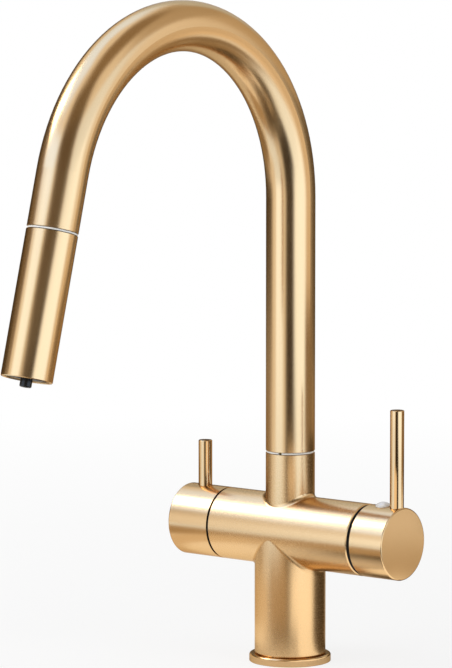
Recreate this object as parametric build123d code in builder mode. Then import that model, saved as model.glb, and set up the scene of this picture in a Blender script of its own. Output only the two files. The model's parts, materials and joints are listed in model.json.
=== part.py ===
from build123d import *
import os
from math import cos, hypot, pi, radians, sin, sqrt

# Pull-out kitchen mixer tap with a separate lever for filtered water, in millimetres.
# The origin is the middle of the base flange's underside, on the worktop. +Z is up, the spout
# reaches towards -Y, the mixer arm points to +X and the filtered-water arm to -X.

# Clearances
SNUG = 0.05  # between pieces that are fixed to each other
RUN = 0.08  # radial running clearance of a turning piece in its seat
FREE = 0.4  # between pieces that move past each other

# Body casting: column, two arms and neck
ARM_R = 22.0
COLUMN_INSET = 0.3
COLUMN_WALL = 3.4
COLUMN_FOOT_EDGE = 0.9
ARM_Z = 80.5
MIXER_ARM = 58.8
FILTER_ARM = 47.4
ARM_EDGE = 0.6
LOWER_BLEND = 4.0
NECK_BLEND = 3.0
NECK_TOP = 128.6
NECK_WALL = 1.7
NECK_DEPTH = 25.6
CHANNEL_R = 2.4

# Base: flange, gasket, inlet manifold and its pipes
FLANGE_LIP = 3.3
FLANGE_H = 5.0
FLANGE_TOP_EDGE = 1.4
FLANGE_FOOT_EDGE = 0.5
GASKET_W = 2.6
GASKET_H = 1.2
MANIFOLD_FOOT = 1.0
MANIFOLD_TOP = 22.0
PORT_R = 4.5
PORT_DEPTH = 11.0
PORT_STEP = 60.0
PIPE_R = 3.0
PIPE_WALL = 0.8
PIPE_SPACE = 32.0
PIPE_SOCKET = 5.0
PIPE_SPACE_STEP = 1.0

# Spout
SPOUT_R = 15.0
SPOUT_WALL = 1.2
ARCH_Z = 284.5
ARCH_R = 108.0
SPOUT_TILT = 15.5
SPOUT_END = 34.5
SLIP_RING_H = 1.6
SLIP_RING_INSET = 0.35
SLIP_RING_W = 2.2
SLIP_RING_SPLIT = 2.0
SLIP_RING_SPLIT_ANGLE = -77.5
RING_BEVEL_H = 0.45
RING_BEVEL_W = 0.9
BUSH_WALL = 0.9
SPIGOT_RISE = 16.0
SPIGOT_WALL = 3.0
O_RING_R = 0.9
O_RING_INSET = 5.0
SCREW_GROOVE_DEPTH = 1.5

# Pull-out hose with the filtered-water tube inside it
HOSE_R = 6.0
HOSE_BORE_R = 3.8
HOSE_ROOM = 1.4
TUBE_R = 2.2
TUBE_BORE_R = 1.4
TAIL_FOOT = 2.0
TAIL_THREAD_R = 4.9
TAIL_THREAD_L = 8.0
TAIL_COLLAR_H = 3.0
CRIMP_L = 10.0
CRIMP_WALL = 0.75
NIPPLE_BORE_R = 3.1

# Dock and spray head, measured along the head's axis from the seam
DOCK_RIM = 1.3
DOCK_DEPTH = 20.0
DOCK_WALL = 2.3
SEAM_GAP = 0.5
HEAD_L = 85.5
HEAD_WALL = 1.5
HEAD_EDGE = 0.5
CORE_L = 62.0
CORE_BORE_R = 4.0
DOCK_SPIGOT_L = 14.0
NUT_SOCKET_R = 7.1
NUT_SOCKET_DEPTH = 10.0
NUT_HEAD_R = 8.6
NUT_HEAD_H = 5.0
SWIVEL_NECK_R = 4.4
SWIVEL_FLANGE_R = 5.6
SWIVEL_FLANGE_H = 2.0
HOSE_SEAL_H = 2.4
AERATOR_SEAL_H = 1.6
AERATOR_SEAL_W = 3.0
AERATOR_WALL = 1.8
AERATOR_RECESS = 1.2
INSERT_H = 7.0
INSERT_RECESS = 0.5
SCREEN_H = 0.8
SPRAY_HOLE_R = 0.55
SPRAY_CIRCLES = (5.2, 7.4, 9.6)
SPRAY_PITCH = 2.6
NOZZLE_R = 3.5
NOZZLE_PROUD = 4.3
NOZZLE_L = 20.0
NOZZLE_EDGE = 0.9
NOZZLE_BORE_R = 1.5

# Mixer cartridge, stacked outwards from its seat in the mixer arm
CARTRIDGE_R = 17.5
CARTRIDGE_DEPTH = 36.8
CARTRIDGE_GASKET_H = 1.2
HOUSING_FLOOR = 2.6
HOUSING_WALL = 1.7
HOUSING_L = 20.8
FIXED_DISC_H = 3.5
MOVING_DISC_R = 10.8
MOVING_DISC_H = 3.0
DISC_GAP = 0.05
CARRIER_R = 10.2
CARRIER_H = 3.0
DRIVER_NECK_R = 12.2
DRIVER_NECK_L = 4.6
DRIVER_SLOT_L = 20.0
CAP_H = 2.5
NUT_H = 7.5
NUT_WALL = 4.2
NUT_NOTCH_W = 5.0
NUT_NOTCH_H = 2.0
PIVOT_RISE = 17.6
PIVOT_PIN_R = 1.5
PIVOT_PIN_L = 22.0
STEM_W = 8.0
STEM_WAIST_W = 6.8
STEM_WAIST_BACK = 2.4
STEM_SHOULDER_ROOM = 2.4
STEM_TIP_R = 1.8
STEM_TIP_NECK_R = 1.2
INLET_RISE = 4.0
OUTLET_DROP = 9.0

# Handles
HANDLE_GAP = 2.6
MIXER_DRUM_L = 24.0
FILTER_GAP = 1.0
FILTER_DRUM_L = 30.0
DRUM_WALL = 2.0
DRUM_END_EDGE = 0.8
MIXER_CAVITY = 12.6
MIXER_BOSS_R = 9.5
MIXER_BOSS_BACK = 4.1
STEM_REACH = 2.6
COVER_INSET = 0.7
COVER_SPIGOT_L = 4.0
COVER_WALL = 1.2
COVER_FLOOR = 0.65
COVER_LIP = 0.8
COVER_REACH = 2.0
FILTER_CAVITY = 11.6
FILTER_BOSS_R = 8.0
FILTER_BOSS_BACK = 2.1
SPINDLE_REACH = 4.0
LEVER_R = 4.25
LEVER_EDGE = 0.3
LEVER_SEAT = 0.6
LEVER_SHANK_R = 2.5
LEVER_SHANK_L = 8.0
MIXER_LEVER_INSET = 4.7
MIXER_LEVER_TOP = 161.2
FILTER_LEVER_INSET = 12.0
FILTER_LEVER_TOP = 130.3
GRUB_R = 2.45
GRUB_L = 4.6
NECK_GRUB_R = 1.95
HEX_SOCKET_SHARE = 0.55
HEX_SOCKET_DEPTH = 1.8
PLUG_R = 4.8
PLUG_STEM_R = 2.8
PLUG_DOME = 2.4
PLUG_SEAT = 0.8
PLUG_LIP = 0.4
PLUG_INSET = 14.7

# Filtered-water valve, stacked outwards from its seat in the filter arm
FILTER_DEPTH = 24.4
FILTER_BORE_R = 12.0
FILTER_RECESS = 8.0
SEAT_SEAL_H = 1.6
SEAT_SEAL_W = 2.8
HEADWORK_NOSE_R = 8.4
HEADWORK_NOSE_L = 8.4
HEADWORK_WALL = 1.6
HEADWORK_HEX_R = 15.0
HEADWORK_HEX_H = 4.0
VALVE_DISC_H = 2.8
VALVE_PORT_R = 1.7
VALVE_PORT_OFFSET = 3.2
SPINDLE_R = 4.0
SPINDLE_HEAD_R = 4.8
SPINDLE_RING_R = 0.55
CLIP_H = 0.9
CLIP_W = 2.4
CLIP_GROOVE = 0.5
WINDOW_R = 1.3
WINDOW_COUNT = 4

# Places worked out from the sizes above
COLUMN_R = ARM_R - COLUMN_INSET
COLUMN_BORE_R = COLUMN_R - COLUMN_WALL
MANIFOLD_R = COLUMN_BORE_R - SNUG
FLANGE_R = COLUMN_R + FLANGE_LIP
FLANGE_BORE_R = MANIFOLD_R + FREE
GASKET_MID_R = (FLANGE_BORE_R + FLANGE_R) / 2
HOSE_HOLE_R = HOSE_R + HOSE_ROOM
PORT_CIRCLE_R = (HOSE_HOLE_R + MANIFOLD_R) / 2
PIPE_CEILING = MANIFOLD_TOP + PIPE_SPACE
NECK_FLOOR = NECK_TOP - NECK_DEPTH
BUSH_R = SPOUT_R - NECK_WALL - SNUG
SPIGOT_R = BUSH_R - BUSH_WALL - RUN
SPIGOT_BORE_R = SPIGOT_R - SPIGOT_WALL
SPOUT_FOOT = NECK_TOP + SLIP_RING_H + SNUG
SPOUT_BORE_R = SPOUT_R - SPOUT_WALL
NECK_SCREW_Z = (NECK_FLOOR + NECK_TOP) / 2
SEAT_X = MIXER_ARM - CARTRIDGE_DEPTH
PIVOT_X = SEAT_X + PIVOT_RISE
DISC_R = CARTRIDGE_R - HOUSING_WALL - SNUG
HOUSING_FOOT = SEAT_X + CARTRIDGE_GASKET_H
FIXED_DISC_FOOT = HOUSING_FOOT + HOUSING_FLOOR
MOVING_DISC_FOOT = FIXED_DISC_FOOT + FIXED_DISC_H + DISC_GAP
CARRIER_FOOT = MOVING_DISC_FOOT + MOVING_DISC_H
DRIVER_FOOT = CARRIER_FOOT + CARRIER_H + FREE
CAP_FOOT = HOUSING_FOOT + HOUSING_L
DRIVER_SHOULDER = CAP_FOOT - FREE
DRIVER_END = DRIVER_SHOULDER + DRIVER_NECK_L
NUT_FOOT = CAP_FOOT + CAP_H
STEM_TIP_X = CARRIER_FOOT + STEM_TIP_R + DISC_GAP
MIXER_RIM = MIXER_ARM + HANDLE_GAP
MIXER_END = MIXER_RIM + MIXER_DRUM_L
MIXER_CAVITY_END = MIXER_RIM + MIXER_CAVITY
STEM_END = MIXER_CAVITY_END + STEM_REACH
MIXER_LEVER_X = MIXER_END - MIXER_LEVER_INSET
PLUG_X = MIXER_END - PLUG_INSET
FILTER_SEAT = FILTER_ARM - FILTER_DEPTH
HEADWORK_FOOT = FILTER_SEAT + SEAT_SEAL_H
HEADWORK_SHOULDER = HEADWORK_FOOT + HEADWORK_NOSE_L
HEX_FOOT = FILTER_ARM - FILTER_RECESS
CLIP_FOOT = HEX_FOOT + HEADWORK_HEX_H + SNUG
VALVE_CHAMBER_R = HEADWORK_NOSE_R - HEADWORK_WALL
MOVING_VALVE_FOOT = HEADWORK_FOOT + VALVE_DISC_H + DISC_GAP
SPINDLE_FOOT = MOVING_VALVE_FOOT + VALVE_DISC_H
SPINDLE_STEP = HEADWORK_SHOULDER - FREE
SPINDLE_RING_X = (HEADWORK_SHOULDER + HEX_FOOT) / 2
FILTER_RIM = FILTER_ARM + FILTER_GAP
FILTER_END = FILTER_RIM + FILTER_DRUM_L
FILTER_CAVITY_END = FILTER_RIM + FILTER_CAVITY
SPINDLE_END = FILTER_CAVITY_END + SPINDLE_REACH
FILTER_LEVER_X = FILTER_END - FILTER_LEVER_INSET
FILTER_SCREW_X = FILTER_CAVITY_END - GRUB_R - FREE
DRUM_BORE_R = ARM_R - DRUM_WALL
LEVER_FOOT_Z = ARM_Z + ARM_R - LEVER_SEAT
DOCK_R = SPOUT_BORE_R - SNUG
DOCK_BORE_R = DOCK_R - DOCK_WALL
HEAD_BORE_R = SPOUT_R - HEAD_WALL
CORE_R = HEAD_BORE_R - SNUG
NUT_THREAD_R = NUT_SOCKET_R - SNUG
SOCKET_FLOOR = NUT_SOCKET_DEPTH - DOCK_SPIGOT_L
SWIVEL_FLANGE_FOOT = SOCKET_FLOOR - HOSE_SEAL_H - RUN
NUT_HEAD_TOP = -DOCK_SPIGOT_L - NUT_HEAD_H
FERRULE_FOOT = NUT_HEAD_TOP - FREE
CRIMP_R = HOSE_R + SNUG + CRIMP_WALL
TAIL_COLLAR_FOOT = TAIL_FOOT + TAIL_THREAD_L
HOSE_FOOT = TAIL_COLLAR_FOOT + TAIL_COLLAR_H
TUBE_TOP = FERRULE_FOOT - CRIMP_L
AERATOR_FOOT = CORE_L + AERATOR_SEAL_H
AERATOR_END = HEAD_L - AERATOR_RECESS
AERATOR_BORE_R = CORE_R - AERATOR_WALL
INSERT_FOOT = AERATOR_END - INSERT_RECESS - INSERT_H
NOZZLE_END = HEAD_L + NOZZLE_PROUD
NOZZLE_FOOT = NOZZLE_END - NOZZLE_L

# Reference planes: their normals are the axes of the base, the two arms and the spray head
BASE = Plane.XY
MIXER = Plane(origin=(0, 0, ARM_Z), x_dir=(0, 1, 0), z_dir=(1, 0, 0))
FILTER = Plane(origin=(0, 0, ARM_Z), x_dir=(0, -1, 0), z_dir=(-1, 0, 0))
SPOUT_WAY = Vector(0, -sin(radians(SPOUT_TILT)), -cos(radians(SPOUT_TILT)))
ARCH_END = Vector(
    0,
    -ARCH_R - ARCH_R * cos(radians(SPOUT_TILT)),
    ARCH_Z + ARCH_R * sin(radians(SPOUT_TILT)),
)
HEAD = Plane(origin=ARCH_END + SPOUT_WAY * SPOUT_END, x_dir=(1, 0, 0), z_dir=SPOUT_WAY)


def turn(plane, outline, mode=Mode.ADD):
    """Revolve an outline of (radius, height) points about the plane's normal."""
    with BuildSketch(Plane(plane.origin, plane.x_dir, plane.x_dir.cross(plane.z_dir))) as profile:
        with BuildLine():
            Polyline(*outline, close=True)
        make_face()
    revolve(profile.sketch, axis=Axis(plane.origin, plane.z_dir), mode=mode)


def ring(plane, inner, outer, low, high, mode=Mode.ADD):
    """A plain ring, or a disc where inner is 0, between two heights along the plane's normal."""
    turn(plane, [(inner, low), (outer, low), (outer, high), (inner, high)], mode)


def o_ring(plane, middle, height, wire):
    """A round-section seal ring."""
    with BuildSketch(Plane(plane.origin, plane.x_dir, plane.x_dir.cross(plane.z_dir))) as profile:
        with Locations((middle, height)):
            Circle(wire)
    revolve(profile.sketch, axis=Axis(plane.origin, plane.z_dir))


def bar(plane, width, depth, low, high, mode=Mode.ADD):
    """A rectangular bar along the plane's normal."""
    with BuildSketch(plane.offset(low)) as section:
        Rectangle(width, depth)
    extrude(section.sketch, amount=high - low, mode=mode)


def drill(start, end, radius, mode=Mode.SUBTRACT):
    """A straight round hole, or a rod with Mode.ADD, between two points."""
    way = Vector(end) - Vector(start)
    with BuildSketch(Plane(origin=start, z_dir=way)) as section:
        Circle(radius)
    extrude(section.sketch, amount=way.length, mode=mode)


def grub_screw(tip, head, radius):
    """A headless screw with a hexagon socket in its outer end."""
    drill(tip, head, radius, Mode.ADD)
    inwards = (Vector(tip) - Vector(head)).normalized()
    with BuildSketch(Plane(origin=head, z_dir=inwards)) as socket:
        RegularPolygon(radius * HEX_SOCKET_SHARE, 6)
    extrude(socket.sketch, amount=HEX_SOCKET_DEPTH, mode=Mode.SUBTRACT)


def lever_pin(distance, top):
    """A plain round lever standing on a drum, with its screwed shank below."""
    length = top - LEVER_FOOT_Z
    outline = [
        (0, -LEVER_SHANK_L),
        (LEVER_SHANK_R, -LEVER_SHANK_L),
        (LEVER_SHANK_R, 0),
        (LEVER_R, 0),
        (LEVER_R, length - LEVER_EDGE),
        (LEVER_R - LEVER_EDGE, length),
        (0, length),
    ]
    turn(Plane(origin=(distance, 0, LEVER_FOOT_Z)), outline)


def lever_seat(distance):
    """The spot face and screw hole in a drum that take a lever."""
    drill((distance, 0, LEVER_FOOT_Z), (distance, 0, ARM_Z + ARM_R), LEVER_R + SNUG)
    foot = LEVER_FOOT_Z - LEVER_SHANK_L - SNUG
    drill((distance, 0, foot), (distance, 0, ARM_Z + ARM_R), LEVER_SHANK_R + SNUG)


def drum(plane, rim, end, cavity_end, boss_r, boss_foot):
    """A turned handle drum: open skirt towards the body, solid outer end and a middle boss."""
    outline = [
        (0, boss_foot),
        (boss_r, boss_foot),
        (boss_r, cavity_end),
        (DRUM_BORE_R, cavity_end),
        (DRUM_BORE_R, rim),
        (ARM_R, rim),
        (ARM_R, end),
        (0, end),
    ]
    turn(plane, outline)


def spout_path(foot, straight):
    """The spout's centre line from a height on the upright run to a length past the arch."""
    with BuildLine(Plane.YZ) as line:
        Line((0, foot), (0, ARCH_Z))
        arch = CenterArc((-ARCH_R, ARCH_Z), ARCH_R, 0, 180 - SPOUT_TILT)
        PolarLine(arch @ 1, straight, direction=arch % 1)
    return line.line


def along_spout(path, outer, inner, foot):
    """A round tube swept along a spout path that starts at a height on the upright run."""
    with BuildSketch(BASE.offset(foot)) as section:
        Circle(outer)
        Circle(inner, mode=Mode.SUBTRACT)
    sweep(section.sketch, path=path)


def port(angle, height):
    """A point on the manifold's port circle."""
    return Vector(PORT_CIRCLE_R * cos(radians(angle)), PORT_CIRCLE_R * sin(radians(angle)), height)


# The six places on the port circle
MIXED_ANGLE = 0.0
HOT_ANGLE = PORT_STEP
FILTER_IN_ANGLE = 2 * PORT_STEP
STUD_ANGLE = 3 * PORT_STEP
FILTER_OUT_ANGLE = 4 * PORT_STEP
COLD_ANGLE = 5 * PORT_STEP
PIPE_ANGLES = (MIXED_ANGLE, HOT_ANGLE, FILTER_IN_ANGLE, FILTER_OUT_ANGLE, COLD_ANGLE)
CARTRIDGE_PORTS = (
    (port(HOT_ANGLE, 0).Y, INLET_RISE),
    (port(COLD_ANGLE, 0).Y, INLET_RISE),
    (0, -OUTLET_DROP),
)

# Body casting
with BuildPart() as body_casting:
    with BuildSketch(BASE.offset(FLANGE_H)):
        Circle(COLUMN_R)
    extrude(amount=ARM_Z - FLANGE_H)
    with BuildSketch(MIXER.offset(-FILTER_ARM)):
        Circle(ARM_R)
    extrude(amount=FILTER_ARM + MIXER_ARM)
    with BuildSketch(BASE.offset(ARM_Z)):
        Circle(SPOUT_R)
    extrude(amount=NECK_TOP - ARM_Z)
    seams = body_casting.edges().filter_by(GeomType.CIRCLE, reverse=True).filter_by(
        GeomType.LINE, reverse=True
    )
    fillet(seams.sort_by(Axis.Z)[0], LOWER_BLEND)
    neck_seam = (
        body_casting.edges()
        .filter_by_position(Axis.Z, ARM_Z + SPOUT_R / 2, ARM_Z + ARM_R)
        .filter_by(GeomType.BSPLINE)
    )
    fillet(neck_seam, NECK_BLEND)
    arm_ends = body_casting.faces().filter_by(Plane.YZ)
    chamfer(arm_ends.edges(), ARM_EDGE)
    column_foot = body_casting.faces().sort_by(Axis.Z)[0]
    fillet(column_foot.edges(), COLUMN_FOOT_EDGE)
    # Bores of the column, the hose way, the neck and the two arms
    ring(BASE, 0, COLUMN_BORE_R, FLANGE_H, MANIFOLD_TOP, Mode.SUBTRACT)
    ring(BASE, 0, COLUMN_BORE_R - PIPE_SPACE_STEP, MANIFOLD_TOP, PIPE_CEILING, Mode.SUBTRACT)
    ring(BASE, 0, HOSE_HOLE_R, PIPE_CEILING, NECK_FLOOR, Mode.SUBTRACT)
    ring(BASE, 0, SPOUT_R - NECK_WALL, NECK_FLOOR, NECK_TOP, Mode.SUBTRACT)
    ring(MIXER, 0, CARTRIDGE_R + SNUG, SEAT_X, MIXER_ARM, Mode.SUBTRACT)
    ring(FILTER, 0, FILTER_BORE_R, FILTER_SEAT, HEX_FOOT, Mode.SUBTRACT)
    ring(FILTER, 0, CARTRIDGE_R, HEX_FOOT, FILTER_ARM, Mode.SUBTRACT)
    # Pipe sockets and the waterways drilled from them to the two valve seats
    for angle in PIPE_ANGLES:
        drill(port(angle, PIPE_CEILING), port(angle, PIPE_CEILING + PIPE_SOCKET), PIPE_R + SNUG)
    for angle in (HOT_ANGLE, COLD_ANGLE):
        corner = port(angle, ARM_Z + INLET_RISE)
        drill(port(angle, PIPE_CEILING), corner, CHANNEL_R)
        drill(corner, (SEAT_X, corner.Y, corner.Z), CHANNEL_R)
    corner = port(MIXED_ANGLE, ARM_Z - OUTLET_DROP)
    drill(port(MIXED_ANGLE, PIPE_CEILING), corner, CHANNEL_R)
    drill(corner, (SEAT_X, corner.Y, corner.Z), CHANNEL_R)
    corner = port(FILTER_IN_ANGLE, ARM_Z)
    drill(port(FILTER_IN_ANGLE, PIPE_CEILING), corner, CHANNEL_R)
    drill(corner, (-FILTER_SEAT, 0, ARM_Z), CHANNEL_R)
    corner = port(FILTER_OUT_ANGLE, ARM_Z - FILTER_BORE_R)
    drill(port(FILTER_OUT_ANGLE, PIPE_CEILING), corner, CHANNEL_R)
    drill(corner, (-HEADWORK_SHOULDER, corner.Y / 2, ARM_Z - HEADWORK_NOSE_R), CHANNEL_R)
    drill((0, 0, NECK_SCREW_Z), (0, SPOUT_R, NECK_SCREW_Z), NECK_GRUB_R + SNUG)

# Base flange with the groove for its gasket
with BuildPart() as base_flange:
    ring(BASE, FLANGE_BORE_R, FLANGE_R, 0, FLANGE_H)
    top_rims = base_flange.faces().sort_by(Axis.Z)[-1].edges()
    fillet(top_rims.sort_by(SortBy.RADIUS)[-1], FLANGE_TOP_EDGE)
    foot_rims = base_flange.faces().sort_by(Axis.Z)[0].edges()
    fillet(foot_rims.sort_by(SortBy.RADIUS)[-1], FLANGE_FOOT_EDGE)
    ring(
        BASE,
        GASKET_MID_R - GASKET_W / 2 - SNUG,
        GASKET_MID_R + GASKET_W / 2 + SNUG,
        0,
        GASKET_H,
        Mode.SUBTRACT,
    )

with BuildPart() as base_gasket:
    ring(BASE, GASKET_MID_R - GASKET_W / 2, GASKET_MID_R + GASKET_W / 2, 0, GASKET_H)

# Inlet manifold: six equal threaded holes below, for five hose tails and the fixing stud,
# and pipe sockets above
with BuildPart() as inlet_manifold:
    ring(BASE, HOSE_HOLE_R, MANIFOLD_R, MANIFOLD_FOOT, MANIFOLD_TOP)
    for angle in (*PIPE_ANGLES, STUD_ANGLE):
        drill(port(angle, MANIFOLD_FOOT), port(angle, MANIFOLD_FOOT + PORT_DEPTH), PORT_R)
    for angle in PIPE_ANGLES:
        drill(port(angle, MANIFOLD_FOOT), port(angle, MANIFOLD_TOP), CHANNEL_R)
        drill(port(angle, MANIFOLD_TOP - PIPE_SOCKET), port(angle, MANIFOLD_TOP), PIPE_R + SNUG)


def feed_pipe(angle):
    """A straight pipe from the manifold's socket up to the casting's."""
    low = MANIFOLD_TOP - PIPE_SOCKET
    high = PIPE_CEILING + PIPE_SOCKET
    drill(port(angle, low), port(angle, high), PIPE_R, Mode.ADD)
    drill(port(angle, low), port(angle, high), PIPE_R - PIPE_WALL)


with BuildPart() as hot_feed_pipe:
    feed_pipe(HOT_ANGLE)

with BuildPart() as cold_feed_pipe:
    feed_pipe(COLD_ANGLE)

with BuildPart() as mixed_return_pipe:
    feed_pipe(MIXED_ANGLE)

with BuildPart() as filter_feed_pipe:
    feed_pipe(FILTER_IN_ANGLE)

with BuildPart() as filter_return_pipe:
    feed_pipe(FILTER_OUT_ANGLE)

# Spout swivel: bush and screw in the neck, split ring between neck and spout
with BuildPart() as swivel_bush:
    ring(BASE, BUSH_R - BUSH_WALL, BUSH_R, NECK_FLOOR, NECK_TOP)
    drill((0, 0, NECK_SCREW_Z), (0, SPOUT_R, NECK_SCREW_Z), NECK_GRUB_R + SNUG)

with BuildPart() as spout_slip_ring:
    slip_ring_r = SPOUT_R - SLIP_RING_INSET
    slip_ring_top = NECK_TOP + SLIP_RING_H
    outline = [
        (slip_ring_r - SLIP_RING_W, NECK_TOP),
        (slip_ring_r - RING_BEVEL_W, NECK_TOP),
        (slip_ring_r, NECK_TOP + RING_BEVEL_H),
        (slip_ring_r, slip_ring_top - RING_BEVEL_H),
        (slip_ring_r - RING_BEVEL_W, slip_ring_top),
        (slip_ring_r - SLIP_RING_W, slip_ring_top),
    ]
    turn(BASE, outline)
    with BuildSketch(BASE.offset(NECK_TOP)):
        with PolarLocations(slip_ring_r, 1, SLIP_RING_SPLIT_ANGLE):
            Rectangle(2 * (SLIP_RING_W + FREE), SLIP_RING_SPLIT)
    extrude(amount=SLIP_RING_H, mode=Mode.SUBTRACT)

with BuildPart() as neck_grub_screw:
    screw_tip = SPIGOT_R - SCREW_GROOVE_DEPTH + FREE
    grub_screw((0, screw_tip, NECK_SCREW_Z), (0, SPOUT_R - FREE, NECK_SCREW_Z), NECK_GRUB_R)

# Spout
with BuildPart() as spout_tube:
    along_spout(spout_path(SPOUT_FOOT, SPOUT_END - DOCK_RIM), SPOUT_R, SPOUT_BORE_R, SPOUT_FOOT)

O_RING_HEIGHTS = (NECK_FLOOR + O_RING_INSET, NECK_TOP - O_RING_INSET)
O_RING_MID_R = SPIGOT_R - O_RING_R
with BuildPart() as spout_spigot:
    outline = [
        (SPIGOT_BORE_R, NECK_FLOOR + SNUG),
        (SPIGOT_R, NECK_FLOOR + SNUG),
        (SPIGOT_R, SPOUT_FOOT),
        (SPOUT_BORE_R - SNUG, SPOUT_FOOT),
        (SPOUT_BORE_R - SNUG, SPOUT_FOOT + SPIGOT_RISE),
        (SPIGOT_BORE_R, SPOUT_FOOT + SPIGOT_RISE),
    ]
    turn(BASE, outline)
    groove_half = NECK_GRUB_R + FREE
    groove_r = SPIGOT_R - SCREW_GROOVE_DEPTH
    low = NECK_SCREW_Z - groove_half
    high = NECK_SCREW_Z + groove_half
    ring(BASE, groove_r, SPIGOT_R, low, high, Mode.SUBTRACT)
    for height in O_RING_HEIGHTS:
        low = height - O_RING_R - SNUG
        high = height + O_RING_R + SNUG
        ring(BASE, O_RING_MID_R - O_RING_R - SNUG, SPIGOT_R, low, high, Mode.SUBTRACT)

with BuildPart() as spout_o_rings:
    for height in O_RING_HEIGHTS:
        o_ring(BASE, O_RING_MID_R, height, O_RING_R)

with BuildPart() as dock_collar:
    outline = [
        (DOCK_BORE_R, -DOCK_DEPTH),
        (DOCK_R, -DOCK_DEPTH),
        (DOCK_R, -DOCK_RIM),
        (SPOUT_R - SLIP_RING_INSET, RING_BEVEL_H - DOCK_RIM),
        (SPOUT_R - SLIP_RING_INSET, 0),
        (DOCK_BORE_R, 0),
    ]
    turn(HEAD, outline)

# Pull-out hose from its tail in the manifold to the spray head, and the tube inside it
with BuildPart() as pullout_hose:
    hose_straight = SPOUT_END + FERRULE_FOOT - CRIMP_WALL
    along_spout(spout_path(HOSE_FOOT, hose_straight), HOSE_R, HOSE_BORE_R, HOSE_FOOT)

with BuildPart() as hose_filter_tube:
    along_spout(spout_path(TAIL_FOOT, SPOUT_END + TUBE_TOP), TUBE_R, TUBE_BORE_R, TAIL_FOOT)

with BuildPart() as hose_tail:
    outline = [
        (NIPPLE_BORE_R, TAIL_FOOT),
        (TAIL_THREAD_R, TAIL_FOOT),
        (TAIL_THREAD_R, TAIL_COLLAR_FOOT),
        (CRIMP_R, TAIL_COLLAR_FOOT),
        (CRIMP_R, HOSE_FOOT + CRIMP_L),
        (HOSE_R + SNUG, HOSE_FOOT + CRIMP_L),
        (HOSE_R + SNUG, HOSE_FOOT),
        (HOSE_BORE_R - SNUG, HOSE_FOOT),
        (HOSE_BORE_R - SNUG, HOSE_FOOT + CRIMP_L),
        (NIPPLE_BORE_R, HOSE_FOOT + CRIMP_L),
    ]
    turn(BASE, outline)

with BuildPart() as hose_ferrule:
    outline = [
        (NIPPLE_BORE_R, FERRULE_FOOT - CRIMP_L),
        (HOSE_BORE_R - SNUG, FERRULE_FOOT - CRIMP_L),
        (HOSE_BORE_R - SNUG, FERRULE_FOOT - CRIMP_WALL),
        (HOSE_R + SNUG, FERRULE_FOOT - CRIMP_WALL),
        (HOSE_R + SNUG, FERRULE_FOOT - CRIMP_L),
        (CRIMP_R, FERRULE_FOOT - CRIMP_L),
        (CRIMP_R, FERRULE_FOOT),
        (SWIVEL_NECK_R, FERRULE_FOOT),
        (SWIVEL_NECK_R, SWIVEL_FLANGE_FOOT - SWIVEL_FLANGE_H),
        (SWIVEL_FLANGE_R, SWIVEL_FLANGE_FOOT - SWIVEL_FLANGE_H),
        (SWIVEL_FLANGE_R, SWIVEL_FLANGE_FOOT),
        (NIPPLE_BORE_R, SWIVEL_FLANGE_FOOT),
    ]
    turn(HEAD, outline)


def spray_holes(foot, height):
    """Rings of fine holes right through a disc that stands on a height of the head's axis."""
    for circle_r in SPRAY_CIRCLES:
        count = round(2 * pi * circle_r / SPRAY_PITCH)
        with BuildSketch(HEAD.offset(foot)) as holes:
            with PolarLocations(circle_r, count):
                Circle(SPRAY_HOLE_R)
        extrude(holes.sketch, amount=height, mode=Mode.SUBTRACT)


# Spray head
with BuildPart() as head_shell:
    ring(HEAD, HEAD_BORE_R, SPOUT_R, SEAM_GAP, HEAD_L)
    tip_rims = head_shell.faces().sort_by(Axis.Z)[0].edges()
    chamfer(tip_rims, HEAD_EDGE)

DOCK_RING_Z = -DOCK_SPIGOT_L + 2 * O_RING_R + SNUG
with BuildPart() as head_core:
    spigot_r = DOCK_BORE_R - FREE
    outline = [
        (CORE_BORE_R, CORE_L),
        (CORE_R, CORE_L),
        (CORE_R, SEAM_GAP),
        (spigot_r, SEAM_GAP),
        (spigot_r, -DOCK_SPIGOT_L),
        (NUT_SOCKET_R, -DOCK_SPIGOT_L),
        (NUT_SOCKET_R, SOCKET_FLOOR),
        (CORE_BORE_R, SOCKET_FLOOR),
    ]
    turn(HEAD, outline)
    low = DOCK_RING_Z - O_RING_R - SNUG
    high = DOCK_RING_Z + O_RING_R + SNUG
    ring(HEAD, DOCK_BORE_R - RUN - 2 * O_RING_R - SNUG, spigot_r, low, high, Mode.SUBTRACT)

with BuildPart() as dock_o_ring:
    o_ring(HEAD, DOCK_BORE_R - RUN - O_RING_R, DOCK_RING_Z, O_RING_R)

with BuildPart() as hose_swivel_nut:
    lip_end = SWIVEL_FLANGE_FOOT - SWIVEL_FLANGE_H - FREE
    outline = [
        (SWIVEL_NECK_R + FREE, NUT_HEAD_TOP),
        (NUT_THREAD_R, NUT_HEAD_TOP),
        (NUT_THREAD_R, SOCKET_FLOOR - SNUG),
        (SWIVEL_FLANGE_R + FREE, SOCKET_FLOOR - SNUG),
        (SWIVEL_FLANGE_R + FREE, lip_end),
        (SWIVEL_NECK_R + FREE, lip_end),
    ]
    turn(HEAD, outline)
    with BuildSketch(HEAD.offset(NUT_HEAD_TOP)) as nut_head:
        RegularPolygon(NUT_HEAD_R, 6)
        Circle(SWIVEL_NECK_R + FREE, mode=Mode.SUBTRACT)
    extrude(nut_head.sketch, amount=NUT_HEAD_H)

with BuildPart() as hose_seal:
    ring(HEAD, NIPPLE_BORE_R, SWIVEL_FLANGE_R, SOCKET_FLOOR - HOSE_SEAL_H, SOCKET_FLOOR)

with BuildPart() as head_filter_tube:
    ring(HEAD, TUBE_BORE_R, TUBE_R, TUBE_TOP + FREE, NOZZLE_FOOT)

with BuildPart() as aerator_seal:
    ring(HEAD, CORE_R - AERATOR_SEAL_W, CORE_R, CORE_L, AERATOR_FOOT)

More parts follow.
